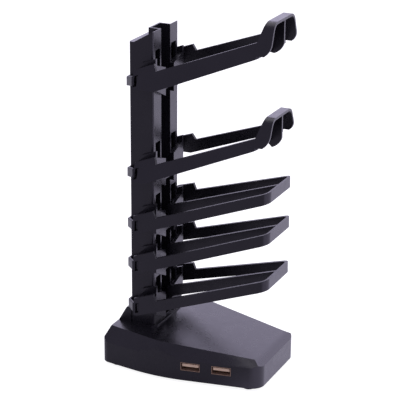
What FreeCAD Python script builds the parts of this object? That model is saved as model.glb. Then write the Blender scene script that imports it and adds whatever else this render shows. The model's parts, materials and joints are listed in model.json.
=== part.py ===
import FreeCAD, Part
import math
import os

# Units are millimetres. +Z is up, the front is -Y, and the origin is the middle of the base's
# footprint, on the surface that the stand rests on.

# Base housing
BASE_LENGTH = 113.8
BASE_FRONT_WIDTH = 60.6
BASE_MID_WIDTH = 84.2
BASE_REAR_WIDTH = 71.2
BASE_MID_Y = 12.5
BASE_HEIGHT = 26.4
BASE_WALL_HEIGHT = 16.6
BASE_WALL = 2.2
BASE_REAR_CORNER = 6.5
BASE_FRONT_CORNER = 9.5
BASE_SIDE_BEND = 120.0
CROWN_MID_INSET = 4.2
CROWN_REAR_INSET = 6.4
CROWN_FRONT_INSET = 5.2
CROWN_REAR_SETBACK = 4.4
CROWN_FRONT_SETBACK = 6.0
CROWN_FRONT_HEIGHT = 20.4
CROWN_BEND_RADIUS = 90.0
PLINTH_MARGIN = 2.4
PLINTH_HEIGHT = 0.9
PLINTH_CORNER = 3.0
PLATE_THICKNESS = 2.0
FIT_CLEARANCE = 0.2
SEAT_GAP = 0.1

# Rubber feet
FOOT_HEIGHT = 2.0
FOOT_RADIUS = 4.2
FOOT_RECESS = 0.8
FOOT_SIDE_INSET = 6.9
FOOT_END_INSET = 10.0

# Self-tapping screws, shared by the base, the board and the column
SCREW_RADIUS = 1.3
SCREW_HEAD_RADIUS = 2.6
SCREW_HEAD_HEIGHT = 1.2
SCREW_LENGTH = 8.0
SCREW_SLOT_WIDTH = 0.7
SCREW_SLOT_DEPTH = 0.5
SCREW_HOLE_CLEARANCE = 0.25
BOSS_RADIUS = 3.6
BASE_SCREW_SIDE_INSET = 9.0
BASE_SCREW_SETBACK = 4.0
BASE_SCREW_FRONT_X = 10.0
BASE_SCREW_FRONT_INSET = 8.0

# Column, a channel with two front flanges and a screwed back cover
COLUMN_FRONT_Y = 26.0
COLUMN_WIDTH = 36.8
COLUMN_DEPTH = 17.0
COLUMN_WALL = 2.0
COLUMN_HEIGHT = 202.6
COLUMN_REAR_FALL = 7.6
COLUMN_TOP_FLAT = 0.5
COLUMN_BACK_DEPTH = 3.5
COLUMN_EDGE_RADIUS = 1.4
CHANNEL_WIDTH = 13.2
CHANNEL_DEPTH = 7.2
CHANNEL_WALL = 1.2
COLUMN_FOOT_HEIGHT = 10.0
COLUMN_SCREW_X = 12.0
COLUMN_SCREW_Y = 6.0
BACK_SCREW_RISES = (185.6, 139.6, 91.6, 28.6)
BUTTRESS_DEPTH = 9.4
BUTTRESS_HEIGHT = 16.4

# Windows in the flanges, and the teeth of the racks that sit in them
WINDOW_INNER_X = 8.0
WINDOW_OUTER_X = 15.0
WINDOW_BELOW = 2.0
WINDOW_ABOVE = 12.0
TOOTH_HEIGHT = 2.4
TOOTH_DEPTH = 1.8

# Racks. Rises are those of an arm's top edge at the column's front face, above the base's top.
HOOK_RACK_RISES = (178.0, 116.5)
GAME_RACK_RISES = (80.6, 52.5, 22.3)
HOOK_SLOPES = (0.370, 0.370)
GAME_SLOPES = (0.338, 0.343, 0.321)
HOOK_ARM_HEIGHTS = (12.6, 10.0)
HOOK_ARM_TAPER = 0.033
GAME_ARM_HEIGHT = 7.7
GAME_ARM_TAPER = 0.004
HOOK_FLARE = 4.6
GAME_FLARE = 0.4
ARM_THICKNESS = 2.2
ARM_REAR_HALF = 32.0
ARM_FRONT_HALF = 20.3
RACK_REACH = 82.0
HOOK_CORNER_RADIUS = 3.0
GAME_CORNER_RADIUS = 6.0
BLOCK_REAR = 7.0
BLOCK_LENGTH = 15.0
BLOCK_RISE = 5.0
BLOCK_DROP = 9.0
NOTCH_RUN = 1.8
WEB_THICKNESS = 2.8
COLLAR_THICKNESS = 2.0
COLLAR_RISE = 7.0
COLLAR_REAR = 11.0
COLLAR_CHAMFER = 3.4
COLLAR_DROP = 6.0
JAW_THICKNESS = 3.0
JAW_INNER_X = 6.0
HOOK_JAW_RISE = 3.4
GAME_JAW_RISE = 2.8
JAW_TOP_FALL = 4.0
JAW_BOTTOM_OUTER = 12.6
JAW_BOTTOM_INNER = 19.6
BRIDGE_DEPTH = 2.2
BRIDGE_DROP = 9.0
BRIDGE_HEIGHT = 6.0
DIVIDER_THICKNESS = 2.2

# Upturned lip at the front of a controller rack
LIP_RISE = 8.8
LIP_DEPTH = 6.0
LIP_SETBACK = 7.7
LIP_WALL = 1.7
LIP_PLATE = 1.5
LIP_CORNER_RADIUS = 7.0
LIP_TOE_RISE = 6.0
LIP_HEEL_SETBACK = 4.0
LIP_TOE_BULGE = 1.1
KEEL_TOE_DROP = 7.6
KEEL_HEEL_DROP = 12.0
KEEL_HEEL_SETBACK = 6.6
KEEL_TOE_BULGE = 1.2

# Rear straps that lock the racks to the column
STRAP_HEIGHT = 6.4
STRAP_RISE = 1.0
STRAP_THICKNESS = 1.6
STRAP_CORNER_MARGIN = 1.0
PRONG_THICKNESS = 1.8
PRONG_REACH = 4.6
BARB_LENGTH = 1.8
BARB_SETBACK = 0.8
BARB_Y = 4.8
SLOT_CLEARANCE = 0.2

# Power sockets, and the board that carries them
SOCKET_WIDTH = 13.1
SOCKET_HEIGHT = 5.7
SOCKET_DEPTH = 14.0
SOCKET_SHEET = 0.3
SOCKET_Z = 12.1
SOCKET_CENTRES_Y = (-10.4, -31.1)
SOCKET_WINDOW_GAP = 0.15
TONGUE_WIDTH = 11.1
TONGUE_THICKNESS = 1.84
TONGUE_RISE = 0.75
TONGUE_SETBACK = 0.9
TONGUE_ROOT = 1.6
CONTACT_COUNT = 4
CONTACT_PITCH = 2.3
CONTACT_WIDTH = 1.1
CONTACT_THICKNESS = 0.25
CONTACT_LENGTH = 9.0
INLET_WIDTH = 7.7
INLET_HEIGHT = 4.0
INLET_DEPTH = 9.2
INLET_SHEET = 0.4
INLET_Y = -19.0
INLET_TONGUE_WIDTH = 4.4
INLET_TONGUE_THICKNESS = 1.2
BOARD_THICKNESS = 1.6
BOARD_WALL_GAP = 0.6
BOARD_REAR_Y = 4.0
BOARD_FRONT_INSET = 14.0
BOARD_SCREW_X = 8.0
BOARD_SCREW_LENGTH = 4.0
BOARD_POST_RADIUS = 3.0

# Values that follow from the sizes above
PLATE_BOTTOM = FOOT_HEIGHT
PLATE_TOP = PLATE_BOTTOM + PLATE_THICKNESS
BASE_FRONT_Y = -BASE_LENGTH / 2
BASE_REAR_Y = BASE_LENGTH / 2
COLUMN_HALF = COLUMN_WIDTH / 2
COLUMN_TOP = BASE_HEIGHT + COLUMN_HEIGHT
COLUMN_REAR_TOP = COLUMN_TOP - COLUMN_REAR_FALL
BACK_SCREW_HEIGHTS = [BASE_HEIGHT + rise for rise in BACK_SCREW_RISES]
COLUMN_REAR_Y = COLUMN_FRONT_Y + COLUMN_DEPTH
COLUMN_SPLIT_Y = COLUMN_REAR_Y - COLUMN_BACK_DEPTH
CHANNEL_HALF = CHANNEL_WIDTH / 2
WEB_Y = COLUMN_FRONT_Y + CHANNEL_DEPTH
BOARD_TOP = SOCKET_Z - SOCKET_HEIGHT / 2
BOARD_BOTTOM = BOARD_TOP - BOARD_THICKNESS
COLUMN_SCREWS = [(side * COLUMN_SCREW_X, COLUMN_FRONT_Y + COLUMN_SCREW_Y) for side in (-1, 1)]
BOARD_FRONT_Y = BASE_FRONT_Y + BOARD_FRONT_INSET
BOARD_SCREW_Y = (BOARD_REAR_Y + BOARD_FRONT_Y) / 2
BOARD_SCREWS = [(side * BOARD_SCREW_X, BOARD_SCREW_Y) for side in (-1, 1)]
HOLE_RADIUS = SCREW_RADIUS + SCREW_HOLE_CLEARANCE
HEAD_HOLE_RADIUS = SCREW_HEAD_RADIUS + SCREW_HOLE_CLEARANCE
CUT = 1.0
CROWN_OVERRUN = 1.25
TALL = 400.0

V = FreeCAD.Vector


# Plain shapes

def box(x0, x1, y0, y1, z0, z1):
    return Part.makeBox(x1 - x0, y1 - y0, z1 - z0, V(x0, y0, z0))


def face_of(points):
    return Part.Face(Part.makePolygon(points + [points[0]]))


def prism_yz(points, x0, x1):
    face = face_of([V(x0, y, z) for y, z in points])
    return face.extrude(V(x1 - x0, 0, 0))


def prism_xz(points, y0, y1):
    face = face_of([V(x, y0, z) for x, z in points])
    return face.extrude(V(0, y1 - y0, 0))


def prism_xy(points, z0, z1):
    face = face_of([V(x, y, z0) for x, y in points])
    return face.extrude(V(0, 0, z1 - z0))


def post(x, y, z0, z1, radius):
    return Part.makeCylinder(radius, z1 - z0, V(x, y, z0))


def fused(shapes):
    return shapes[0].multiFuse(shapes[1:]).removeSplitter()


def mirrored(shape):
    return shape.mirror(V(0, 0, 0), V(1, 0, 0))


def both_sides(shape):
    return [shape, mirrored(shape)]


def vertical_edges(shape, least):
    def is_upright(edge):
        box_of = edge.BoundBox
        return box_of.ZLength > least and box_of.ZLength > 2.0 * max(box_of.XLength, box_of.YLength)
    return [edge for edge in shape.Edges if is_upright(edge)]


def save(name, shape):
    shape.exportStep("parts/" + name + ".step")


# Base housing

def base_half_width(y):
    front = BASE_FRONT_WIDTH / 2
    mid = BASE_MID_WIDTH / 2
    if y > BASE_MID_Y:
        share = (y - BASE_MID_Y) / (BASE_REAR_Y - BASE_MID_Y)
        return mid + share * (BASE_REAR_WIDTH / 2 - mid)
    share = (BASE_MID_Y - y) / (BASE_MID_Y - BASE_FRONT_Y)
    return mid + share * (front - mid)


def base_screw_places():
    rear_y = COLUMN_FRONT_Y + BASE_SCREW_SETBACK
    rear_x = base_half_width(rear_y) - BASE_SCREW_SIDE_INSET
    front_y = BASE_FRONT_Y + BASE_SCREW_FRONT_INSET
    rear = [(-rear_x, rear_y), (rear_x, rear_y)]
    return rear + [(-BASE_SCREW_FRONT_X, front_y), (BASE_SCREW_FRONT_X, front_y)]


def wall_points(inset, z):
    """Right-hand corners of the walls' outline, from the rear to the front."""
    stations = (BASE_REAR_Y - inset, BASE_MID_Y, BASE_FRONT_Y + inset)
    return [V(base_half_width(y) - inset, y, z) for y in stations]


def crown_points(inset, lowered):
    """Right-hand corners of the base's top, from the rear to the front."""
    top = BASE_HEIGHT - lowered
    rear = V(BASE_REAR_WIDTH / 2 - CROWN_REAR_INSET - inset, BASE_REAR_Y - CROWN_REAR_SETBACK - inset, top)
    middle = V(BASE_MID_WIDTH / 2 - CROWN_MID_INSET - inset, BASE_MID_Y, top)
    front = V(BASE_FRONT_WIDTH / 2 - CROWN_FRONT_INSET - inset, BASE_FRONT_Y + CROWN_FRONT_SETBACK + inset,
              CROWN_FRONT_HEIGHT - lowered)
    return [rear, middle, front]


def other_side(points):
    return [V(-point.x, point.y, point.z) for point in points]


def base_outline(inset, z):
    right = wall_points(inset, z)
    return face_of(right + list(reversed(other_side(right))))


def ruled_face(low_start, low_end, high_start, high_end):
    return Part.makeRuledSurface(Part.makeLine(low_start, low_end), Part.makeLine(high_start, high_end))


def under_crown(lowered):
    """Everything under the base's top: level at the rear, then a rounded bend and a fall to the front."""
    top = BASE_HEIGHT - lowered
    run = BASE_MID_Y - BASE_FRONT_Y - CROWN_FRONT_SETBACK
    fall = math.atan((BASE_HEIGHT - CROWN_FRONT_HEIGHT) / run)
    bend_y = BASE_MID_Y + CROWN_BEND_RADIUS * math.tan(fall / 2)

    def on_bend(angle):
        drop = CROWN_BEND_RADIUS * (1 - math.cos(angle))
        return V(0, bend_y - CROWN_BEND_RADIUS * math.sin(angle), top - drop)
    rear = V(0, BASE_REAR_Y + CUT, top)
    slope_start = on_bend(fall)
    front_y = BASE_FRONT_Y - CUT
    front = V(0, front_y, slope_start.z - (slope_start.y - front_y) * math.tan(fall))
    corners = [slope_start, front, V(0, front_y, 0), V(0, rear.y, 0), rear, on_bend(0)]
    edges = [Part.Arc(on_bend(0), on_bend(fall / 2), slope_start).toShape()]
    edges += [Part.makeLine(first, second) for first, second in zip(corners, corners[1:])]
    face = Part.Face(Part.Wire(edges))
    face.translate(V(-BASE_MID_WIDTH, 0, 0))
    return face.extrude(V(2 * BASE_MID_WIDTH, 0, 0))


def crown(inset, lowered):
    """The base above its upright walls: shoulders that run up past the top, cut off at its profile."""
    low = wall_points(inset, BASE_WALL_HEIGHT - lowered)
    edge = crown_points(inset, lowered)
    high = [foot_point + (point - foot_point) * CROWN_OVERRUN for foot_point, point in zip(low, edge)]
    left_low = other_side(low)
    left_high = other_side(high)
    faces = [base_outline(inset, BASE_WALL_HEIGHT - lowered)]
    for start, end in ((0, 1), (1, 2)):
        faces.append(ruled_face(low[start], low[end], high[start], high[end]))
        faces.append(ruled_face(left_low[start], left_low[end], left_high[start], left_high[end]))
        faces.append(face_of([high[start], high[end], left_high[end], left_high[start]]))
    for end in (0, 2):
        faces.append(face_of([low[end], high[end], left_high[end], left_low[end]]))
    shell = Part.makeShell(faces)
    shell.sewShape()
    return Part.makeSolid(shell).common(under_crown(lowered))


def rounded_outline(inset, bottom, top):
    """Upright block on the walls' outline, with rounded ends and a wide bend at each side."""
    block = base_outline(inset, bottom).extrude(V(0, 0, top - bottom))
    stations = (BASE_REAR_Y - inset, BASE_MID_Y, BASE_FRONT_Y + inset)
    for y, radius in zip(stations, (BASE_REAR_CORNER, BASE_SIDE_BEND, BASE_FRONT_CORNER)):
        edges = [edge for edge in vertical_edges(block, (top - bottom) / 2)
                 if abs(edge.BoundBox.YMin - y) < CUT / 10]
        block = block.makeFillet(radius - inset, edges)
    return block


def base_block(inset, bottom, lowered):
    rounded = rounded_outline(inset, bottom, BASE_HEIGHT)
    walls = base_outline(inset, bottom).extrude(V(0, 0, BASE_WALL_HEIGHT - lowered - bottom))
    return walls.fuse(crown(inset, lowered)).common(rounded).removeSplitter()


def wall_frame(y, z, side):
    """Placement at the base's outer wall: its X points out of the wall and its Y runs along it."""
    taper = (BASE_MID_WIDTH - BASE_FRONT_WIDTH) / 2 / (BASE_MID_Y - BASE_FRONT_Y)
    turn = math.degrees(math.atan(taper))
    angle = 180 + turn if side < 0 else -turn
    return FreeCAD.Placement(V(side * base_half_width(y), y, z), FreeCAD.Rotation(V(0, 0, 1), angle))


def placed(shape, frame):
    moved = shape.copy()
    moved.Placement = frame
    return moved


def socket_frames():
    return [wall_frame(y, SOCKET_Z, -1) for y in SOCKET_CENTRES_Y]


def inlet_frame():
    return wall_frame(INLET_Y, BOARD_TOP + INLET_HEIGHT / 2, 1)


def socket_block(width, height, depth, grow, out):
    half_w = width / 2 + grow
    half_h = height / 2 + grow
    return box(-depth, out, -half_w, half_w, -half_h, half_h)


def column_footprint(grow):
    return (-COLUMN_HALF - grow, COLUMN_HALF + grow, COLUMN_FRONT_Y - grow, COLUMN_SPLIT_Y + grow)


def plinth():
    """Low raised step round the column's foot, with its front corners cut off."""
    half = COLUMN_HALF + PLINTH_MARGIN
    front = COLUMN_FRONT_Y - PLINTH_MARGIN
    right = [(half, COLUMN_SPLIT_Y), (half, front + PLINTH_CORNER), (half - PLINTH_CORNER, front)]
    left = [(-x, y) for x, y in reversed(right)]
    return prism_xy(right + left, BASE_HEIGHT - BASE_WALL, BASE_HEIGHT + PLINTH_HEIGHT)


def base_cover():
    shell = base_block(0, PLATE_BOTTOM, 0)
    cavity = base_block(BASE_WALL, PLATE_BOTTOM - CUT, BASE_WALL)
    places = base_screw_places()
    roof_under = base_block(BASE_WALL / 2, PLATE_BOTTOM, BASE_WALL / 2)
    bosses = [post(x, y, PLATE_TOP, BASE_HEIGHT, BOSS_RADIUS).common(roof_under) for x, y in places]
    cover = shell.cut(cavity).multiFuse(bosses + [plinth()])
    x0, x1, y0, y1 = column_footprint(FIT_CLEARANCE)
    cuts = [box(x0, x1, y0, y1, PLATE_TOP, TALL)]
    reach = BASE_WALL * 3
    socket_window = socket_block(SOCKET_WIDTH, SOCKET_HEIGHT, reach, SOCKET_WINDOW_GAP, reach)
    inlet_window = socket_block(INLET_WIDTH, INLET_HEIGHT, reach, SOCKET_WINDOW_GAP, reach)
    cuts += [placed(socket_window, frame) for frame in socket_frames()]
    cuts.append(placed(inlet_window, inlet_frame()))
    pilot_top = PLATE_BOTTOM + SCREW_HEAD_HEIGHT + SCREW_LENGTH
    cuts += [post(x, y, PLATE_TOP - CUT, pilot_top, SCREW_RADIUS) for x, y in places]
    return cover.cut(cuts).removeSplitter()


def foot_places():
    places = []
    for end, y in (("rear", BASE_REAR_Y - FOOT_END_INSET), ("front", BASE_FRONT_Y + FOOT_END_INSET)):
        x = base_half_width(y) - FOOT_SIDE_INSET
        places += [(end + "_left", -x, y), (end + "_right", x, y)]
    return places


def screw_way(x, y, floor):
    head = post(x, y, floor - CUT, floor + SCREW_HEAD_HEIGHT, HEAD_HOLE_RADIUS)
    return head.fuse(post(x, y, floor - CUT, PLATE_TOP + CUT, HOLE_RADIUS))


def base_plate():
    plate = rounded_outline(BASE_WALL + FIT_CLEARANCE, PLATE_BOTTOM, PLATE_TOP)
    posts = [post(x, y, PLATE_BOTTOM, BOARD_BOTTOM, BOARD_POST_RADIUS) for x, y in BOARD_SCREWS]
    plate = plate.multiFuse(posts)
    cuts = [screw_way(x, y, PLATE_BOTTOM) for x, y in base_screw_places() + COLUMN_SCREWS]
    for _, x, y in foot_places():
        cuts.append(post(x, y, PLATE_BOTTOM - CUT, PLATE_BOTTOM + FOOT_RECESS, FOOT_RADIUS + FIT_CLEARANCE))
    pilot_floor = BOARD_TOP - BOARD_SCREW_LENGTH
    cuts += [post(x, y, pilot_floor, BOARD_TOP, SCREW_RADIUS) for x, y in BOARD_SCREWS]
    return plate.cut(cuts).removeSplitter()


def foot(x, y):
    pad = post(x, y, 0, PLATE_BOTTOM + FOOT_RECESS, FOOT_RADIUS)
    lower = [edge for edge in pad.Edges if edge.BoundBox.ZMax < CUT / 10]
    return pad.makeFillet(FOOT_RECESS / 2, lower)


# Screws, drawn point up from a seat and turned where they are used

def screw(length):
    shank = Part.makeCylinder(SCREW_RADIUS, length, V(0, 0, SCREW_HEAD_HEIGHT))
    head = Part.makeCylinder(SCREW_HEAD_RADIUS, SCREW_HEAD_HEIGHT)
    half_long = SCREW_HEAD_RADIUS / 2
    half_wide = SCREW_SLOT_WIDTH / 2
    slot_long = box(-half_long, half_long, -half_wide, half_wide, -CUT, SCREW_SLOT_DEPTH)
    slot_cross = slot_long.copy()
    slot_cross.rotate(V(0, 0, 0), V(0, 0, 1), 90)
    return head.fuse(shank).cut([slot_long, slot_cross]).removeSplitter()


def upward_screws(places, seat, length):
    screws = []
    for x, y in places:
        piece = screw(length)
        piece.translate(V(x, y, seat))
        screws.append(piece)
    return Part.makeCompound(screws)


def board_screws():
    screws = []
    for x, y in BOARD_SCREWS:
        piece = screw(BOARD_SCREW_LENGTH)
        piece.rotate(V(0, 0, 0), V(1, 0, 0), 180)
        piece.translate(V(x, y, BOARD_TOP + SCREW_HEAD_HEIGHT))
        screws.append(piece)
    return Part.makeCompound(screws)


def back_screws():
    screws = []
    for z in BACK_SCREW_HEIGHTS:
        piece = screw(SCREW_LENGTH - CUT)
        piece.rotate(V(0, 0, 0), V(1, 0, 0), 90)
        piece.translate(V(0, COLUMN_REAR_Y, z))
        screws.append(piece)
    return Part.makeCompound(screws)


# Sockets and their board, each drawn with its mouth at X = 0, facing +X

def socket_shell(width, height, depth, sheet):
    outer = socket_block(width, height, depth, 0, 0)
    inner = socket_block(width - 2 * sheet, height - 2 * sheet, depth - sheet, 0, CUT)
    return outer.cut(inner)


def socket_tongue():
    root_x = -SOCKET_DEPTH + SOCKET_SHEET
    half_root_w = SOCKET_WIDTH / 2 - SOCKET_SHEET
    half_root_h = SOCKET_HEIGHT / 2 - SOCKET_SHEET
    root = box(root_x, root_x + TONGUE_ROOT, -half_root_w, half_root_w, -half_root_h, half_root_h)
    low = TONGUE_RISE - TONGUE_THICKNESS / 2
    blade = box(root_x, -TONGUE_SETBACK, -TONGUE_WIDTH / 2, TONGUE_WIDTH / 2, low, low + TONGUE_THICKNESS)
    return root.fuse(blade).removeSplitter()


def socket_contacts():
    top = TONGUE_RISE - TONGUE_THICKNESS / 2
    strips = []
    for index in range(CONTACT_COUNT):
        centre = (index - (CONTACT_COUNT - 1) / 2) * CONTACT_PITCH
        half_wide = CONTACT_WIDTH / 2
        front = -TONGUE_SETBACK - CONTACT_WIDTH
        strips.append(box(front - CONTACT_LENGTH, front, centre - half_wide, centre + half_wide,
                          top - CONTACT_THICKNESS, top))
    return Part.makeCompound(strips)


def inlet_tongue():
    root_x = -INLET_DEPTH + INLET_SHEET
    half_w = INLET_WIDTH / 2 - INLET_SHEET
    half_h = INLET_HEIGHT / 2 - INLET_SHEET
    root = box(root_x, root_x + TONGUE_ROOT, -half_w, half_w, -half_h, half_h)
    blade = box(root_x, -TONGUE_SETBACK, -INLET_TONGUE_WIDTH / 2, INLET_TONGUE_WIDTH / 2,
                -INLET_TONGUE_THICKNESS / 2, INLET_TONGUE_THICKNESS / 2)
    return root.fuse(blade).removeSplitter()


def circuit_board():
    inset = BASE_WALL + BOARD_WALL_GAP
    half_rear = base_half_width(BOARD_REAR_Y) - inset
    half_front = base_half_width(BOARD_FRONT_Y) - inset
    points = [(-half_rear, BOARD_REAR_Y), (half_rear, BOARD_REAR_Y), (half_front, BOARD_FRONT_Y),
              (-half_front, BOARD_FRONT_Y)]
    board = prism_xy(points, BOARD_BOTTOM, BOARD_TOP)
    holes = [post(x, y, BOARD_BOTTOM - CUT, BOARD_TOP + CUT, HOLE_RADIUS) for x, y in BOARD_SCREWS]
    return board.cut(holes)


# Column

def slant_profile(lowered):
    """Side profile of the column's outer walls: the top falls from the front to the back cover."""
    front_top = COLUMN_TOP - lowered
    rear_top = COLUMN_REAR_TOP - lowered
    front = COLUMN_FRONT_Y
    knee = COLUMN_FRONT_Y + COLUMN_TOP_FLAT
    return [(front, PLATE_TOP), (front, front_top), (knee, front_top), (COLUMN_SPLIT_Y, rear_top),
            (COLUMN_SPLIT_Y, PLATE_TOP)]


def rack_heights():
    return [BASE_HEIGHT + rise for rise in HOOK_RACK_RISES + GAME_RACK_RISES]


def flange_windows():
    windows = []
    for height in rack_heights():
        window = box(WINDOW_INNER_X, WINDOW_OUTER_X, COLUMN_FRONT_Y - CUT, COLUMN_FRONT_Y + COLUMN_WALL + CUT,
                     height - WINDOW_BELOW, height + WINDOW_ABOVE)
        windows += both_sides(window)
    return windows


def column_front():
    walls = prism_yz(slant_profile(0), -COLUMN_HALF, COLUMN_HALF)
    walls = walls.makeFillet(COLUMN_EDGE_RADIUS, front_corner_edges(walls))
    inner_half = COLUMN_HALF - COLUMN_WALL
    hollow = prism_yz(slant_profile(COLUMN_WALL), -inner_half, inner_half)
    hollow = hollow.common(box(-inner_half, inner_half, COLUMN_FRONT_Y + COLUMN_WALL, COLUMN_SPLIT_Y + CUT,
                               PLATE_TOP + COLUMN_FOOT_HEIGHT, TALL))
    core_half = CHANNEL_HALF + CHANNEL_WALL
    core = box(-core_half, core_half, COLUMN_FRONT_Y, WEB_Y + CHANNEL_WALL, PLATE_TOP, COLUMN_TOP)
    channel = box(-CHANNEL_HALF, CHANNEL_HALF, COLUMN_FRONT_Y - CUT, WEB_Y, BASE_HEIGHT + COLUMN_WALL, TALL)
    bosses = []
    for z in BACK_SCREW_HEIGHTS:
        bosses.append(Part.makeCylinder(BOSS_RADIUS, COLUMN_SPLIT_Y - WEB_Y, V(0, WEB_Y, z), V(0, 1, 0)))
    solid = walls.cut(hollow).multiFuse([core] + bosses)
    cuts = [channel] + flange_windows()
    pilot = PLATE_BOTTOM + SCREW_HEAD_HEIGHT + SCREW_LENGTH
    cuts += [post(x, y, PLATE_TOP - CUT, pilot, SCREW_RADIUS) for x, y in COLUMN_SCREWS]
    depth = COLUMN_REAR_Y - SCREW_HEAD_HEIGHT - (SCREW_LENGTH - CUT)
    for z in BACK_SCREW_HEIGHTS:
        cuts.append(Part.makeCylinder(SCREW_RADIUS, COLUMN_REAR_Y - depth, V(0, depth, z), V(0, 1, 0)))
    return solid.cut(cuts).removeSplitter()


def front_corner_edges(shape):
    def is_corner(edge):
        at_front = abs(edge.BoundBox.YMax - COLUMN_FRONT_Y) < CUT / 10
        return at_front and edge.BoundBox.ZLength > COLUMN_TOP / 2
    return [edge for edge in shape.Edges if is_corner(edge)]


def buttress(inset):
    half = COLUMN_HALF - inset
    rear = COLUMN_REAR_Y
    slope = BUTTRESS_HEIGHT / BUTTRESS_DEPTH
    depth = BUTTRESS_DEPTH - inset * math.hypot(1, 1 / slope)
    low = BASE_HEIGHT
    top = low + depth * slope
    if inset:
        low = low - CUT
        depth = depth + CUT / slope
    return prism_yz([(rear, low), (rear + depth, low), (rear, top)], -half, half)


def above_lowest_strap():
    """Everything above the underside of the lowest strap, where the buttress stops."""
    rack = game_arms()[-1]
    fall = STRAP_RISE - STRAP_HEIGHT - SLOT_CLEARANCE
    low = [(COLUMN_FRONT_Y - reach, rack.top(reach) + fall) for reach in (-BASE_LENGTH, 0)]
    high = [(y, TALL) for y, _ in reversed(low)]
    return prism_yz(low + high, -COLUMN_WIDTH, COLUMN_WIDTH)


def column_back():
    low = BASE_HEIGHT
    tray = box(-COLUMN_HALF, COLUMN_HALF, COLUMN_SPLIT_Y, COLUMN_REAR_Y, low, COLUMN_REAR_TOP)
    rear_edges = [edge for edge in vertical_edges(tray, COLUMN_TOP / 2)
                  if abs(edge.BoundBox.YMin - COLUMN_REAR_Y) < CUT / 10]
    tray = tray.makeFillet(COLUMN_EDGE_RADIUS, rear_edges)
    inner = COLUMN_HALF - COLUMN_WALL
    hollow = box(-inner, inner, COLUMN_SPLIT_Y - CUT, COLUMN_REAR_Y - COLUMN_WALL,
                 low + COLUMN_WALL, COLUMN_REAR_TOP - COLUMN_WALL)
    bosses = []
    cuts = [buttress(COLUMN_WALL)]
    for z in BACK_SCREW_HEIGHTS:
        start = V(0, COLUMN_SPLIT_Y, z)
        bosses.append(Part.makeCylinder(BOSS_RADIUS, COLUMN_BACK_DEPTH - CUT, start, V(0, 1, 0)))
        cuts.append(Part.makeCylinder(HOLE_RADIUS, COLUMN_BACK_DEPTH + CUT, start, V(0, 1, 0)))
        seat = V(0, COLUMN_REAR_Y - SCREW_HEAD_HEIGHT, z)
        cuts.append(Part.makeCylinder(HEAD_HOLE_RADIUS, SCREW_HEAD_HEIGHT + CUT, seat, V(0, 1, 0)))
    foot_rest = buttress(0).cut(above_lowest_strap())
    return tray.cut(hollow).multiFuse(bosses + [foot_rest]).cut(cuts).removeSplitter()


# Racks. Distances in front of the column's front face are called reach.

class Rack:
    def __init__(self, rise, slope, arm_height, taper, flare, jaw_rise):
        self.height = BASE_HEIGHT + rise
        self.slope = slope
        self.arm_height = arm_height
        self.taper = taper
        self.lean = flare / arm_height
        self.half_shift = flare / 4
        self.jaw_rise = jaw_rise

    def top(self, reach):
        return self.height + self.slope * reach

    def depth(self, reach):
        """Height of the arms, which get lower towards the front."""
        return self.arm_height - self.taper * max(reach, 0)

    def half(self, reach):
        share = (reach - BLOCK_LENGTH + BLOCK_REAR) / (RACK_REACH - BLOCK_LENGTH + BLOCK_REAR)
        return ARM_REAR_HALF + share * (ARM_FRONT_HALF - ARM_REAR_HALF) - self.half_shift

    def section(self, reach, above, spare, inset):
        """Outline across both arms at one reach, wider towards the bottom."""
        below = self.depth(reach) + spare
        top = self.top(reach) + above
        bottom = self.top(reach) - below
        half_top = self.half(reach) - self.lean * above - inset
        half_bottom = self.half(reach) + self.lean * below - inset
        y = COLUMN_FRONT_Y - reach
        right = [V(half_top, y, top), V(half_bottom, y, bottom)]
        points = right + list(reversed(other_side(right)))
        return Part.makePolygon(points + [points[0]])

    def hull(self, near, far, above, spare, inset):
        near_wire = self.section(near, above, spare, inset)
        far_wire = self.section(far, above, spare, inset)
        return Part.makeLoft([near_wire, far_wire], True, True)

    def side_profile(self, corners):
        return [(COLUMN_FRONT_Y - reach, self.top(reach) + offset) for reach, offset in corners]

    def prong_half(self):
        """Outer side of a strap's prong, clear of the arm's inner face."""
        narrowest = self.half(PRONG_REACH - BLOCK_REAR) - self.lean * STRAP_RISE
        return narrowest - ARM_THICKNESS - SLOT_CLEARANCE

    def barb_half(self):
        return self.half(-BARB_Y) - self.lean * STRAP_RISE - BARB_SETBACK


def hook_arms():
    return [Rack(rise, slope, height, HOOK_ARM_TAPER, HOOK_FLARE, HOOK_JAW_RISE)
            for rise, slope, height in zip(HOOK_RACK_RISES, HOOK_SLOPES, HOOK_ARM_HEIGHTS)]


def game_arms():
    return [Rack(rise, slope, GAME_ARM_HEIGHT, GAME_ARM_TAPER, GAME_FLARE, GAME_JAW_RISE)
            for rise, slope in zip(GAME_RACK_RISES, GAME_SLOPES)]


def rack_loop(rack, front_reach, corner_radius):
    """Two arms and the bar across their front, with a taller block at each arm's rear end."""
    outer = rack.hull(-BLOCK_REAR, front_reach, BLOCK_RISE, 0, 0)
    outer = outer.makeFillet(corner_radius, loop_corner_edges(outer, front_reach))
    slack = rack.arm_height
    inner = rack.hull(-BLOCK_REAR - slack, front_reach - ARM_THICKNESS, BLOCK_RISE + slack, slack,
                      ARM_THICKNESS)
    inner_corners = loop_corner_edges(inner, front_reach - ARM_THICKNESS)
    inner = inner.makeFillet(corner_radius - ARM_THICKNESS, inner_corners)
    return outer.cut([inner, above_arms(rack, front_reach), below_blocks(rack)])


def loop_corner_edges(shape, front_reach):
    front_y = COLUMN_FRONT_Y - front_reach

    def is_corner(edge):
        at_front = abs(edge.BoundBox.YMax - front_y) < CUT / 10
        return at_front and edge.BoundBox.ZLength > CUT
    return [edge for edge in shape.Edges if is_corner(edge)]


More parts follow.
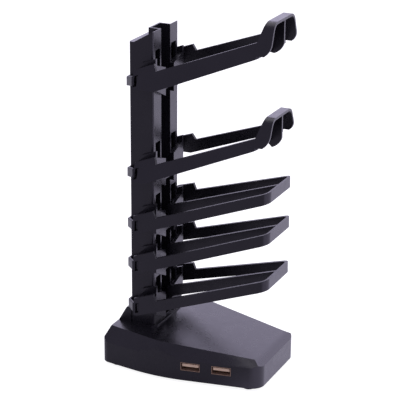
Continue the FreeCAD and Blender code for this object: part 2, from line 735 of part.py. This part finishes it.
def above_arms(rack, front_reach):
    """Space over the arms in front of their rear blocks, with the notched step down from a block."""
    step = BLOCK_LENGTH - BLOCK_REAR
    ceiling = BLOCK_RISE * 2
    corners = [(step - NOTCH_RUN, ceiling), (step - NOTCH_RUN, BLOCK_RISE), (step, 0), (front_reach + CUT, 0),
               (front_reach + CUT, ceiling)]
    return prism_yz(rack.side_profile(corners), -BASE_MID_WIDTH, BASE_MID_WIDTH)


def below_blocks(rack):
    """Space under the blocks, whose undersides are level."""
    rear_y = COLUMN_FRONT_Y + BLOCK_REAR + CUT
    return box(-BASE_MID_WIDTH, BASE_MID_WIDTH, rear_y - RACK_REACH, rear_y, 0, block_floor(rack))


def strap_slots(rack):
    """Slots for a strap's prongs, through the webs, and for their barbs, through the arms' ends."""
    slab = strap_slab(rack, SLOT_CLEARANCE)
    barb_y = COLUMN_FRONT_Y + BARB_Y
    half_barb = BARB_LENGTH / 2 + SLOT_CLEARANCE
    prong_x = rack.prong_half()
    inner_x = prong_x - PRONG_THICKNESS - SLOT_CLEARANCE
    rear_y = COLUMN_FRONT_Y + BLOCK_REAR + CUT
    front_y = rear_y - WEB_THICKNESS - 2 * CUT
    barb_slot = box(prong_x, BASE_MID_WIDTH, barb_y - half_barb, barb_y + half_barb, 0, TALL)
    prong_slot = box(inner_x, prong_x + SLOT_CLEARANCE, front_y, rear_y, 0, TALL)
    return both_sides(barb_slot.common(slab)) + both_sides(prong_slot.common(slab))


def block_floor(rack):
    return rack.height - BLOCK_DROP


def strap_slab(rack, grow):
    """Slab on the slope of the arms that a strap's height fills."""
    near = -COLUMN_DEPTH * 2
    far = BLOCK_LENGTH
    rise = STRAP_RISE + grow
    fall = STRAP_RISE - STRAP_HEIGHT - grow
    corners = [(near, rise), (far, rise), (far, fall), (near, fall)]
    return prism_yz(rack.side_profile(corners), -BASE_MID_WIDTH, BASE_MID_WIDTH)


def rack_web(rack):
    """Wall beside the column, from the collar to the rear end of the arm."""
    y1 = COLUMN_FRONT_Y + BLOCK_REAR
    y0 = y1 - WEB_THICKNESS
    x0 = COLUMN_HALF + SEAT_GAP
    wall = box(x0, BASE_MID_WIDTH, y0, y1, block_floor(rack), rack.height + STRAP_RISE * 2)
    slack = rack.arm_height
    return wall.common(rack.hull(-BLOCK_REAR - CUT, BLOCK_LENGTH, slack, slack, ARM_THICKNESS / 2))


def rack_collar(rack):
    """Cheek along the column's side, with its upper rear corner cut off."""
    x0 = COLUMN_HALF + SEAT_GAP
    knee = COLLAR_CHAMFER - COLLAR_REAR
    rear_rise = COLLAR_RISE - COLLAR_CHAMFER
    corners = [(JAW_THICKNESS, COLLAR_RISE), (knee, COLLAR_RISE), (-COLLAR_REAR, rear_rise),
               (-COLLAR_REAR, -COLLAR_DROP), (JAW_THICKNESS, -JAW_BOTTOM_OUTER)]
    return prism_yz(rack.side_profile(corners), x0, x0 + COLLAR_THICKNESS)


def rack_jaw(rack):
    """Slanted plate in front of a flange, with a tooth in the flange's window."""
    outer = COLUMN_HALF + SEAT_GAP + COLLAR_THICKNESS
    y1 = COLUMN_FRONT_Y
    y0 = y1 - JAW_THICKNESS
    z = rack.height
    shoulder = outer - COLLAR_THICKNESS
    crest = z + rack.jaw_rise
    points = [(outer, crest), (shoulder, crest), (JAW_INNER_X, crest - JAW_TOP_FALL),
              (JAW_INNER_X, z - JAW_BOTTOM_INNER), (outer, z - JAW_BOTTOM_OUTER)]
    jaw = prism_xz(points, y0, y1)
    tooth = box(WINDOW_INNER_X + SLOT_CLEARANCE, WINDOW_OUTER_X - SLOT_CLEARANCE, y1 - CUT, y1 + TOOTH_DEPTH,
                z - WINDOW_BELOW, z - WINDOW_BELOW + TOOTH_HEIGHT)
    return jaw.fuse(tooth)


def rack_bridge(rack):
    """Bar inside the column's channel that ties the two jaws together."""
    half = CHANNEL_HALF - FIT_CLEARANCE
    y1 = COLUMN_FRONT_Y
    high = rack.height - BRIDGE_DROP
    low = high - BRIDGE_HEIGHT
    bar = box(-half, half, y1 - CUT, y1 + BRIDGE_DEPTH, low, high)
    link_half = JAW_INNER_X + CUT
    link = box(-link_half, link_half, y1 - JAW_THICKNESS, y1, low, high)
    return bar.fuse(link)


def rack_rear(rack):
    pieces = []
    for piece in (rack_web(rack), rack_collar(rack), rack_jaw(rack)):
        pieces += both_sides(piece)
    return pieces + [rack_bridge(rack)]


def divider(rack):
    """Bar between the two arms of a game rack."""
    near = JAW_THICKNESS / 2
    far = RACK_REACH - ARM_THICKNESS / 2
    corners = [(near, 0), (far, 0), (far, -rack.depth(far)), (near, -rack.depth(near))]
    return prism_yz(rack.side_profile(corners), -DIVIDER_THICKNESS / 2, DIVIDER_THICKNESS / 2)


def game_rack(rack):
    solid = fused([rack_loop(rack, RACK_REACH, GAME_CORNER_RADIUS), divider(rack)] + rack_rear(rack))
    return solid.cut(strap_slots(rack)).removeSplitter()


def lip_profile(rack, x, toe_z, heel_reach, heel_z, bulge):
    """Side outline of the lip: a straight front edge, a rounded toe, a heel and a leaning rear edge."""
    crest = rack.top(RACK_REACH) + LIP_RISE
    front_y = COLUMN_FRONT_Y - RACK_REACH
    root_reach = RACK_REACH - LIP_SETBACK - ARM_THICKNESS
    root_y = COLUMN_FRONT_Y - root_reach
    toe = V(x, front_y, toe_z)
    heel = V(x, COLUMN_FRONT_Y - heel_reach, heel_z)
    along = (heel - toe).normalize()
    belly = (toe + heel) * 0.5 + V(0, -along.z, along.y) * -bulge
    root_low = max(heel_z, rack.top(root_reach) - rack.depth(root_reach))
    corners = [heel, V(x, root_y, root_low), V(x, root_y, rack.top(root_reach)),
               V(x, front_y + LIP_DEPTH, crest), V(x, front_y, crest), toe]
    edges = [Part.Arc(toe, belly, heel).toShape()]
    edges += [Part.makeLine(first, second) for first, second in zip(corners, corners[1:])]
    return Part.Face(Part.Wire(edges))


def lip_block(rack):
    """Solid lip between the planes of the arms' outer faces, with rounded upper corners."""
    heel_reach = RACK_REACH - LIP_HEEL_SETBACK
    heel_z = rack.top(heel_reach) - rack.depth(heel_reach)
    toe_z = rack.top(RACK_REACH) - rack.depth(RACK_REACH) + LIP_TOE_RISE
    profile = lip_profile(rack, -BASE_MID_WIDTH, toe_z, heel_reach, heel_z, LIP_TOE_BULGE)
    across = profile.extrude(V(2 * BASE_MID_WIDTH, 0, 0))
    rear = RACK_REACH - LIP_SETBACK - 2 * ARM_THICKNESS
    over = LIP_RISE + rack.slope * (RACK_REACH - rear)
    return across.common(rack.hull(rear, RACK_REACH, over, 0, 0))


def crest_edges(shape, crest):
    def is_crest_end(edge):
        level = edge.BoundBox.ZLength < CUT / 10 and abs(edge.BoundBox.ZMax - crest) < CUT / 10
        return level and edge.BoundBox.YLength > edge.BoundBox.XLength
    return [edge for edge in shape.Edges if is_crest_end(edge)]


def lip_pocket(rack):
    """Space inside the lip: under its cap, in front of its leaning wall and between its sides."""
    crest = rack.top(RACK_REACH) + LIP_RISE - LIP_WALL
    front_y = COLUMN_FRONT_Y - RACK_REACH - CUT
    root_y = COLUMN_FRONT_Y - RACK_REACH + LIP_SETBACK
    root_z = rack.top(RACK_REACH - LIP_SETBACK - ARM_THICKNESS)
    low = root_z - 2 * rack.arm_height
    cap_y = front_y + CUT + LIP_DEPTH - LIP_WALL
    corners = [(front_y, crest), (cap_y, crest), (root_y, root_z), (root_y, low), (front_y, low)]
    space = prism_yz(corners, -BASE_MID_WIDTH, BASE_MID_WIDTH)
    rear = RACK_REACH - LIP_SETBACK - ARM_THICKNESS
    over = LIP_RISE + rack.slope * (RACK_REACH - rear) + CUT
    space = space.common(rack.hull(rear, RACK_REACH + 2 * CUT, over, rack.arm_height, LIP_PLATE))
    return space.makeFillet(LIP_CORNER_RADIUS - LIP_PLATE, crest_edges(space, crest))


def hook_lip(rack):
    """Upturned lip: a leaning wall, a cap over it, two sides in line with the arms, and a deeper keel."""
    block = lip_block(rack)
    block = block.makeFillet(LIP_CORNER_RADIUS, crest_edges(block, rack.top(RACK_REACH) + LIP_RISE))
    heel_reach = RACK_REACH - KEEL_HEEL_SETBACK
    toe_z = rack.top(RACK_REACH) - KEEL_TOE_DROP
    heel_z = rack.top(heel_reach) - KEEL_HEEL_DROP
    keel = lip_profile(rack, -LIP_PLATE / 2, toe_z, heel_reach, heel_z, KEEL_TOE_BULGE)
    return [block.cut(lip_pocket(rack)), keel.extrude(V(LIP_PLATE, 0, 0))]


def hook_rack(rack):
    loop = rack_loop(rack, RACK_REACH - LIP_SETBACK, HOOK_CORNER_RADIUS)
    solid = fused([loop] + hook_lip(rack) + rack_rear(rack))
    return solid.cut(strap_slots(rack)).removeSplitter()


# Rear strap of a rack

def strap_plan(rack):
    """Outer plan line of the right half: behind the column, round its corner, to the arm's end."""
    rear = COLUMN_REAR_Y + STRAP_THICKNESS
    end_y = COLUMN_FRONT_Y + BLOCK_REAR + SEAT_GAP
    knee_y = end_y + STRAP_THICKNESS * 1.5
    end_x = rack.prong_half()
    return [(0, rear), (COLUMN_HALF + STRAP_CORNER_MARGIN, rear), (end_x, knee_y), (end_x, end_y)]


def strap_inner_plan(rack):
    outer = strap_plan(rack)
    run_x = outer[2][0] - outer[1][0]
    run_y = outer[1][1] - outer[2][1]
    turn = math.atan2(run_y, run_x)
    corner_x = outer[1][0] - STRAP_THICKNESS * math.tan(turn / 2)
    inner_x = outer[2][0] - PRONG_THICKNESS
    knee_y = outer[2][1] - PRONG_THICKNESS * math.tan((math.pi / 2 - turn) / 2)
    return [(0, COLUMN_REAR_Y), (corner_x, COLUMN_REAR_Y), (inner_x, knee_y), (inner_x, outer[3][1])]


def rear_strap(rack):
    band = prism_xy(strap_plan(rack) + list(reversed(strap_inner_plan(rack))), 0, TALL)
    end_y = COLUMN_FRONT_Y + BLOCK_REAR + SEAT_GAP
    prong_x = rack.prong_half()
    prong = box(prong_x - PRONG_THICKNESS, prong_x, end_y - PRONG_REACH, end_y, 0, TALL)
    barb_y = COLUMN_FRONT_Y + BARB_Y
    barb = box(prong_x - CUT, rack.barb_half(), barb_y - BARB_LENGTH / 2, barb_y + BARB_LENGTH / 2, 0, TALL)
    tall = fused(both_sides(band) + both_sides(prong) + both_sides(barb))
    return tall.common(strap_slab(rack, 0)).removeSplitter()


def build():
    os.makedirs("parts", exist_ok=True)
    save("base_cover", base_cover())
    save("base_plate", base_plate())
    for place, x, y in foot_places():
        save("foot_" + place, foot(x, y))
    save("base_screws", upward_screws(base_screw_places(), PLATE_BOTTOM, SCREW_LENGTH))
    save("column_foot_screws", upward_screws(COLUMN_SCREWS, PLATE_BOTTOM, SCREW_LENGTH))
    save("board_screws", board_screws())
    save("back_cover_screws", back_screws())
    save("circuit_board", circuit_board())
    for name, frame in zip(("rear", "front"), socket_frames()):
        shell = socket_shell(SOCKET_WIDTH, SOCKET_HEIGHT, SOCKET_DEPTH, SOCKET_SHEET)
        save("usb_shell_" + name, placed(shell, frame))
        save("usb_tongue_" + name, placed(socket_tongue(), frame))
        save("usb_contacts_" + name, placed(socket_contacts(), frame))
    shell = socket_shell(INLET_WIDTH, INLET_HEIGHT, INLET_DEPTH, INLET_SHEET)
    save("inlet_shell", placed(shell, inlet_frame()))
    save("inlet_tongue", placed(inlet_tongue(), inlet_frame()))
    save("column_front", column_front())
    save("column_back", column_back())
    for name, rack in zip(("upper", "lower"), hook_arms()):
        save("controller_rack_" + name, hook_rack(rack))
        save("controller_strap_" + name, rear_strap(rack))
    for name, rack in zip(("upper", "middle", "lower"), game_arms()):
        save("game_rack_" + name, game_rack(rack))
        save("game_strap_" + name, rear_strap(rack))


build()
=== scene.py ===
import bpy
import bmesh
import json
import math
from mathutils import Matrix, Vector


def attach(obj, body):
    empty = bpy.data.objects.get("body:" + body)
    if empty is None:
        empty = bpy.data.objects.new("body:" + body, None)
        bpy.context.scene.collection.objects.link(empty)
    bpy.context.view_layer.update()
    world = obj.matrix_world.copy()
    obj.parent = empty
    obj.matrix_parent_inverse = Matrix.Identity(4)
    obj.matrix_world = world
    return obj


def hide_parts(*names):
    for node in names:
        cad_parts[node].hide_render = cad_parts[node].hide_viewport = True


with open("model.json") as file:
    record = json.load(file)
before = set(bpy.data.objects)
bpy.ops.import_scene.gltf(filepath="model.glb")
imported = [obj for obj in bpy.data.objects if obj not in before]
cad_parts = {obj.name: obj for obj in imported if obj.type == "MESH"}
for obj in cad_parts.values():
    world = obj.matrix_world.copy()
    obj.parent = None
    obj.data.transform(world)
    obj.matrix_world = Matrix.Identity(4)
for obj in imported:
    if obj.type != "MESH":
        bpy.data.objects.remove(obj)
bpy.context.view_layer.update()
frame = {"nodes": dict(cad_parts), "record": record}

# Camera of the photograph, in the stand's frame: metres and degrees
PHOTO_WIDTH_PX = 400
FOCAL_PX = 1587.8
SENSOR_MM = 36.0
CAMERA_PLACE = Vector((-0.8904, -0.4121, 0.4723))
CAMERA_YAW = 65.114
CAMERA_PITCH = 20.016
CAMERA_ROLL = 0.403
CLIP_START = 0.01

# Softened edges of the mouldings: metres and degrees
EDGE_ROUND = 0.0006
EDGE_SEGMENTS = 2
CROWN_ROUND = 0.0026
CROWN_SEGMENTS = 5
CROWN_LOWEST = 0.0155
CROWN_OUTSIDE = 0.0235
CROWN_ENDS = (-0.045, 0.047)
EDGE_ANGLE = 28.0
MERGE_GAP = 0.000002
FLAT_ANGLE = 0.6
SMOOTH_ANGLE = 34.0

MOULDINGS = ["base_cover", "column_front", "column_back",
             "controller_rack_upper", "controller_rack_lower",
             "game_rack_upper", "game_rack_middle", "game_rack_lower",
             "controller_strap_upper", "controller_strap_lower",
             "game_strap_upper", "game_strap_middle", "game_strap_lower"]

# Colours, linear, and how much darker the mottling of a plain finish goes
BLACK = (0.0090, 0.0085, 0.0112, 1.0)
BLACK_WORN = (0.0115, 0.0108, 0.0140, 1.0)
BLACK_SHEEN = (0.95, 0.91, 1.0, 1.0)
RUBBER = (0.013, 0.013, 0.013, 1.0)
NICKEL = (0.38, 0.26, 0.19, 1.0)
CREAM = (0.92, 0.68, 0.47, 1.0)
GILT = (0.83, 0.55, 0.22, 1.0)
BOARD_GREEN = (0.012, 0.11, 0.035, 1.0)
STEEL = (0.46, 0.46, 0.47, 1.0)
MOTTLE_SHADE = 0.86
PALE_FLOOR = (0.45, 0.45, 0.45, 1.0)
WHITE = (1.0, 1.0, 1.0, 1.0)
LAVENDER = (1.05, 0.99, 1.29, 1.0)

# Grain of the black plastic and of the plain finishes: noise scales, and relief in metres
BLACK_MOTTLE_SCALE = 60.0
BLACK_MOTTLE_RANGE = (0.35, 0.7)
BLACK_GLOSS_SCALE = 180.0
BLACK_GRAIN_SCALE = 2600.0
BLACK_GRAIN_STRENGTH = 0.03
BLACK_GRAIN_DEPTH = 0.00012
NOISE_RANGE = (0.3, 0.7)
GLOSS_FINER = 3
GRAIN_FINER = 8
GRAIN_STRENGTH = 0.05
GRAIN_DEPTH = 0.0001

# Studio floor and softboxes: metres and watts
FLOOR_SIZE = 8.0
FLOOR_ROUGHNESS = 0.9
LIT_POINT = Vector((0.0, 0.0, 0.12))
OVERHEAD_PLACE = Vector((0.25, 0.1, 1.3))
OVERHEAD_SIZE = 1.2
OVERHEAD_POWER = 7.0
FRONT_PLACE = Vector((0.9, -0.9, 0.6))
FRONT_SIZE = 0.8
FRONT_POWER = 3.0

# Studio levels: what the camera sees of the surround, what gloss mirrors of it, and what it sheds.
# A mirrored pair holds the levels of the dark and the bright side, and an edge says where one turns
# into the other, for the sky as a share of the direction and for the floor in metres.
SURROUND_SEEN = 1.0
SURROUND_SHED = 0.5
SKY_MIRRORED = (0.42, 1.9)
SKY_EDGE = (-0.1, 0.5)
SKY_HORIZON = 0.35
SKY_LIFT = (0.02, 0.26)
FLOOR_SEEN = 0.9
FLOOR_MIRRORED = (0.14, 0.85)
FLOOR_EDGE = (-0.03, 0.03)
BRIGHT_SIDE = (1.0, -1.0, 0.0)
UPWARD = (0.0, 0.0, 1.0)


# Node helpers

def new_material(name):
    material = bpy.data.materials.new(name)
    material.use_nodes = True
    tree = material.node_tree
    return material, tree, tree.nodes["Principled BSDF"]


def object_coordinates(tree):
    return tree.nodes.new("ShaderNodeTexCoord").outputs["Object"]


def noise(tree, scale, detail):
    node = tree.nodes.new("ShaderNodeTexNoise")
    node.inputs["Scale"].default_value = scale
    node.inputs["Detail"].default_value = detail
    tree.links.new(object_coordinates(tree), node.inputs["Vector"])
    return node.outputs["Fac"]


def ramp(tree, value, ends, low_colour, high_colour):
    node = tree.nodes.new("ShaderNodeValToRGB")
    low, high = node.color_ramp.elements
    low.position, high.position = ends
    low.color = low_colour
    high.color = high_colour
    tree.links.new(value, node.inputs["Fac"])
    return node.outputs["Color"]


def spread(tree, value, low, high):
    node = tree.nodes.new("ShaderNodeMapRange")
    node.inputs["From Min"].default_value = NOISE_RANGE[0]
    node.inputs["From Max"].default_value = NOISE_RANGE[1]
    node.inputs["To Min"].default_value = low
    node.inputs["To Max"].default_value = high
    tree.links.new(value, node.inputs["Value"])
    return node.outputs["Result"]


def bump(tree, shader, height, strength, distance):
    node = tree.nodes.new("ShaderNodeBump")
    node.inputs["Strength"].default_value = strength
    node.inputs["Distance"].default_value = distance
    tree.links.new(height, node.inputs["Height"])
    tree.links.new(node.outputs["Normal"], shader.inputs["Normal"])


# Finishes

def satin_black(name, smooth, rough, ior):
    """Black moulded plastic: faint mottling, fine spark-eroded grain, uneven satin gloss."""
    material, tree, shader = new_material(name)
    mottle = noise(tree, BLACK_MOTTLE_SCALE, 4.0)
    colour = ramp(tree, mottle, BLACK_MOTTLE_RANGE, BLACK, BLACK_WORN)
    tree.links.new(colour, shader.inputs["Base Color"])
    gloss = spread(tree, noise(tree, BLACK_GLOSS_SCALE, 5.0), smooth, rough)
    tree.links.new(gloss, shader.inputs["Roughness"])
    bump(tree, shader, noise(tree, BLACK_GRAIN_SCALE, 2.0), BLACK_GRAIN_STRENGTH, BLACK_GRAIN_DEPTH)
    shader.inputs["IOR"].default_value = ior
    shader.inputs["Specular Tint"].default_value = BLACK_SHEEN
    return material


def plain_finish(name, colour, smooth, rough, scale, metallic=0.0):
    """Lightly mottled finish with uneven gloss and a fine grain."""
    material, tree, shader = new_material(name)
    shade = tuple(channel * MOTTLE_SHADE for channel in colour[:3]) + (1.0,)
    mottled = ramp(tree, noise(tree, scale, 4.0), NOISE_RANGE, shade, colour)
    tree.links.new(mottled, shader.inputs["Base Color"])
    gloss = spread(tree, noise(tree, scale * GLOSS_FINER, 3.0), smooth, rough)
    tree.links.new(gloss, shader.inputs["Roughness"])
    bump(tree, shader, noise(tree, scale * GRAIN_FINER, 2.0), GRAIN_STRENGTH, GRAIN_DEPTH)
    shader.inputs["Metallic"].default_value = metallic
    return material


FINISHES = {
    "black_plastic": satin_black("satin_black_plastic", 0.26, 0.32, 1.46),
    "foot_rubber": plain_finish("foot_rubber", RUBBER, 0.75, 0.9, 300.0),
    "nickel_sheet": plain_finish("nickel_sheet", NICKEL, 0.30, 0.42, 400.0, metallic=0.5),
    "pale_plastic": plain_finish("cream_plastic", CREAM, 0.40, 0.52, 300.0),
    "dark_tongue": satin_black("dark_tongue", 0.40, 0.5, 1.45),
    "gilt_contact": plain_finish("gilt_contact", GILT, 0.22, 0.32, 500.0, metallic=1.0),
    "board": plain_finish("solder_mask", BOARD_GREEN, 0.30, 0.45, 220.0),
    "screw_steel": plain_finish("screw_steel", STEEL, 0.26, 0.40, 500.0, metallic=1.0),
}


# Pieces

def finish_node(node, slot):
    mesh = frame["nodes"][node].data
    mesh.materials.clear()
    mesh.materials.append(FINISHES[slot])


def softened_copy(node, slot):
    """The node's moulding with its sharp edges rounded as a moulded edge is."""
    shape = bmesh.new()
    shape.from_mesh(frame["nodes"][node].data)
    bmesh.ops.remove_doubles(shape, verts=shape.verts, dist=MERGE_GAP)
    bmesh.ops.dissolve_limit(shape, angle_limit=math.radians(FLAT_ANGLE), verts=shape.verts,
                             edges=shape.edges)
    if node == "base_cover":
        crown = [edge for edge in shape.edges if is_sharp(edge) and on_crown(edge)]
        round_edges(shape, crown, CROWN_ROUND, CROWN_SEGMENTS)
    sharp = [edge for edge in shape.edges if is_sharp(edge)]
    round_edges(shape, sharp, EDGE_ROUND, EDGE_SEGMENTS)
    mesh = bpy.data.meshes.new(node + "_moulding")
    shape.to_mesh(mesh)
    shape.free()
    mesh.materials.append(FINISHES[slot])
    piece = bpy.data.objects.new(node + "_moulding", mesh)
    bpy.context.scene.collection.objects.link(piece)
    mesh.shade_smooth()
    mesh.set_sharp_from_angle(angle=math.radians(SMOOTH_ANGLE))
    shading = piece.modifiers.new("even_shading", "WEIGHTED_NORMAL")
    shading.keep_sharp = True
    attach(piece, "root")
    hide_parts(node)


def round_edges(shape, edges, offset, segments):
    bmesh.ops.bevel(shape, geom=edges, offset=offset, offset_type="OFFSET", affect="EDGES",
                    segments=segments, profile=0.5, material=-1, clamp_overlap=True)


def on_crown(edge):
    """Whether an edge runs along the outer edges of the base's top, clear of the column."""
    for vert in edge.verts:
        outside = abs(vert.co.x) > CROWN_OUTSIDE or not CROWN_ENDS[0] < vert.co.y < CROWN_ENDS[1]
        if vert.co.z < CROWN_LOWEST or not outside:
            return False
    return True


def is_sharp(edge):
    if len(edge.link_faces) != 2:
        return False
    return edge.calc_face_angle(0.0) > math.radians(EDGE_ANGLE)


def dress_nodes():
    for entry in frame["record"]["subparts"]:
        node = entry["node"]
        slot = entry["material_slot"]
        finish_node(node, slot)
        if node in MOULDINGS:
            softened_copy(node, slot)


# Studio

def seen_tint(tree):
    """White for the camera, and the cool cast of the studio for everything else."""
    path = tree.nodes.new("ShaderNodeLightPath")
    return ramp(tree, path.outputs["Is Camera Ray"], (0.0, 1.0), LAVENDER, WHITE)


def across(tree, vector, line, edge, levels):
    """Node whose level rises along a line, from one side of an edge to the other."""
    along = tree.nodes.new("ShaderNodeVectorMath")
    along.operation = "DOT_PRODUCT"
    along.inputs[1].default_value = line
    tree.links.new(vector, along.inputs[0])
    node = tree.nodes.new("ShaderNodeMapRange")
    node.interpolation_type = "SMOOTHSTEP"
    node.inputs["From Min"].default_value = edge[0]
    node.inputs["From Max"].default_value = edge[1]
    node.inputs["To Min"].default_value = levels[0]
    node.inputs["To Max"].default_value = levels[1]
    tree.links.new(along.outputs["Value"], node.inputs["Value"])
    return node


def seen_level(tree, seen, mirrored, shed):
    """One strength for the camera, one for gloss and glass, and one for the light that is shed."""
    path = tree.nodes.new("ShaderNodeLightPath")
    both = tree.nodes.new("ShaderNodeMath")
    both.operation = "MAXIMUM"
    tree.links.new(path.outputs["Is Glossy Ray"], both.inputs[0])
    tree.links.new(path.outputs["Is Transmission Ray"], both.inputs[1])
    gloss = tree.nodes.new("ShaderNodeMix")
    gloss.inputs["A"].default_value = shed
    tree.links.new(both.outputs["Value"], gloss.inputs["Factor"])
    tree.links.new(mirrored, gloss.inputs["B"])
    camera = tree.nodes.new("ShaderNodeMix")
    camera.inputs["B"].default_value = seen
    tree.links.new(path.outputs["Is Camera Ray"], camera.inputs["Factor"])
    tree.links.new(gloss.outputs["Result"], camera.inputs["A"])
    return camera.outputs["Result"]


def add_floor():
    shape = bmesh.new()
    bmesh.ops.create_grid(shape, x_segments=1, y_segments=1, size=FLOOR_SIZE / 2)
    mesh = bpy.data.meshes.new("studio_floor")
    shape.to_mesh(mesh)
    shape.free()
    floor = bpy.data.objects.new("studio_floor", mesh)
    bpy.context.scene.collection.objects.link(floor)
    mesh.materials.append(floor_finish())


def floor_finish():
    """Pale floor that keeps the shadow, lifted to white where the camera or a reflection sees it."""
    material, tree, shader = new_material("pale_floor")
    shader.inputs["Base Color"].default_value = PALE_FLOOR
    shader.inputs["Roughness"].default_value = FLOOR_ROUGHNESS
    shader.inputs["Specular IOR Level"].default_value = 0.0
    tree.links.new(seen_tint(tree), shader.inputs["Emission Color"])
    mirrored = across(tree, object_coordinates(tree), BRIGHT_SIDE, FLOOR_EDGE, FLOOR_MIRRORED)
    level = seen_level(tree, FLOOR_SEEN, mirrored.outputs["Result"], 0.0)
    tree.links.new(level, shader.inputs["Emission Strength"])
    return material


def add_world():
    world = bpy.data.worlds.new("studio_world")
    world.use_nodes = True
    bpy.context.scene.world = world
    tree = world.node_tree
    background = tree.nodes["Background"]
    tree.links.new(seen_tint(tree), background.inputs["Color"])
    outward = tree.nodes.new("ShaderNodeTexCoord").outputs["Generated"]
    sideways = across(tree, outward, BRIGHT_SIDE, SKY_EDGE, SKY_MIRRORED)
    mirrored = across(tree, outward, UPWARD, SKY_LIFT, (SKY_HORIZON, SKY_HORIZON))
    tree.links.new(sideways.outputs["Result"], mirrored.inputs["To Max"])
    level = seen_level(tree, SURROUND_SEEN, mirrored.outputs["Result"], SURROUND_SHED)
    tree.links.new(level, background.inputs["Strength"])


def add_softbox(name, place, size, power):
    lamp = bpy.data.lights.new(name, "AREA")
    lamp.shape = "SQUARE"
    lamp.size = size
    lamp.energy = power
    panel = bpy.data.objects.new(name, lamp)
    panel.location = place
    panel.rotation_euler = (LIT_POINT - place).to_track_quat("-Z", "Y").to_euler()
    bpy.context.scene.collection.objects.link(panel)


def add_lights():
    add_softbox("overhead_softbox", OVERHEAD_PLACE, OVERHEAD_SIZE, OVERHEAD_POWER)
    add_softbox("front_softbox", FRONT_PLACE, FRONT_SIZE, FRONT_POWER)


def add_camera():
    yaw = math.radians(CAMERA_YAW)
    pitch = math.radians(CAMERA_PITCH)
    roll = math.radians(CAMERA_ROLL)
    ahead = Vector((math.sin(yaw), math.cos(yaw), 0.0))
    forward = math.cos(pitch) * ahead - math.sin(pitch) * Vector(UPWARD)
    level = Vector((math.cos(yaw), -math.sin(yaw), 0.0))
    upright = level.cross(forward)
    right = math.cos(roll) * level + math.sin(roll) * upright
    up = -math.sin(roll) * level + math.cos(roll) * upright
    data = bpy.data.cameras.new("photo_camera")
    data.sensor_width = SENSOR_MM
    data.lens = FOCAL_PX / PHOTO_WIDTH_PX * SENSOR_MM
    data.clip_start = CLIP_START
    camera = bpy.data.objects.new("photo_camera", data)
    turn = Matrix((right, up, -forward)).transposed()
    camera.matrix_world = Matrix.Translation(CAMERA_PLACE) @ turn.to_4x4()
    bpy.context.scene.collection.objects.link(camera)
    bpy.context.scene.camera = camera


bpy.context.scene.view_settings.view_transform = "Standard"
dress_nodes()
add_floor()
add_world()
add_lights()
add_camera()
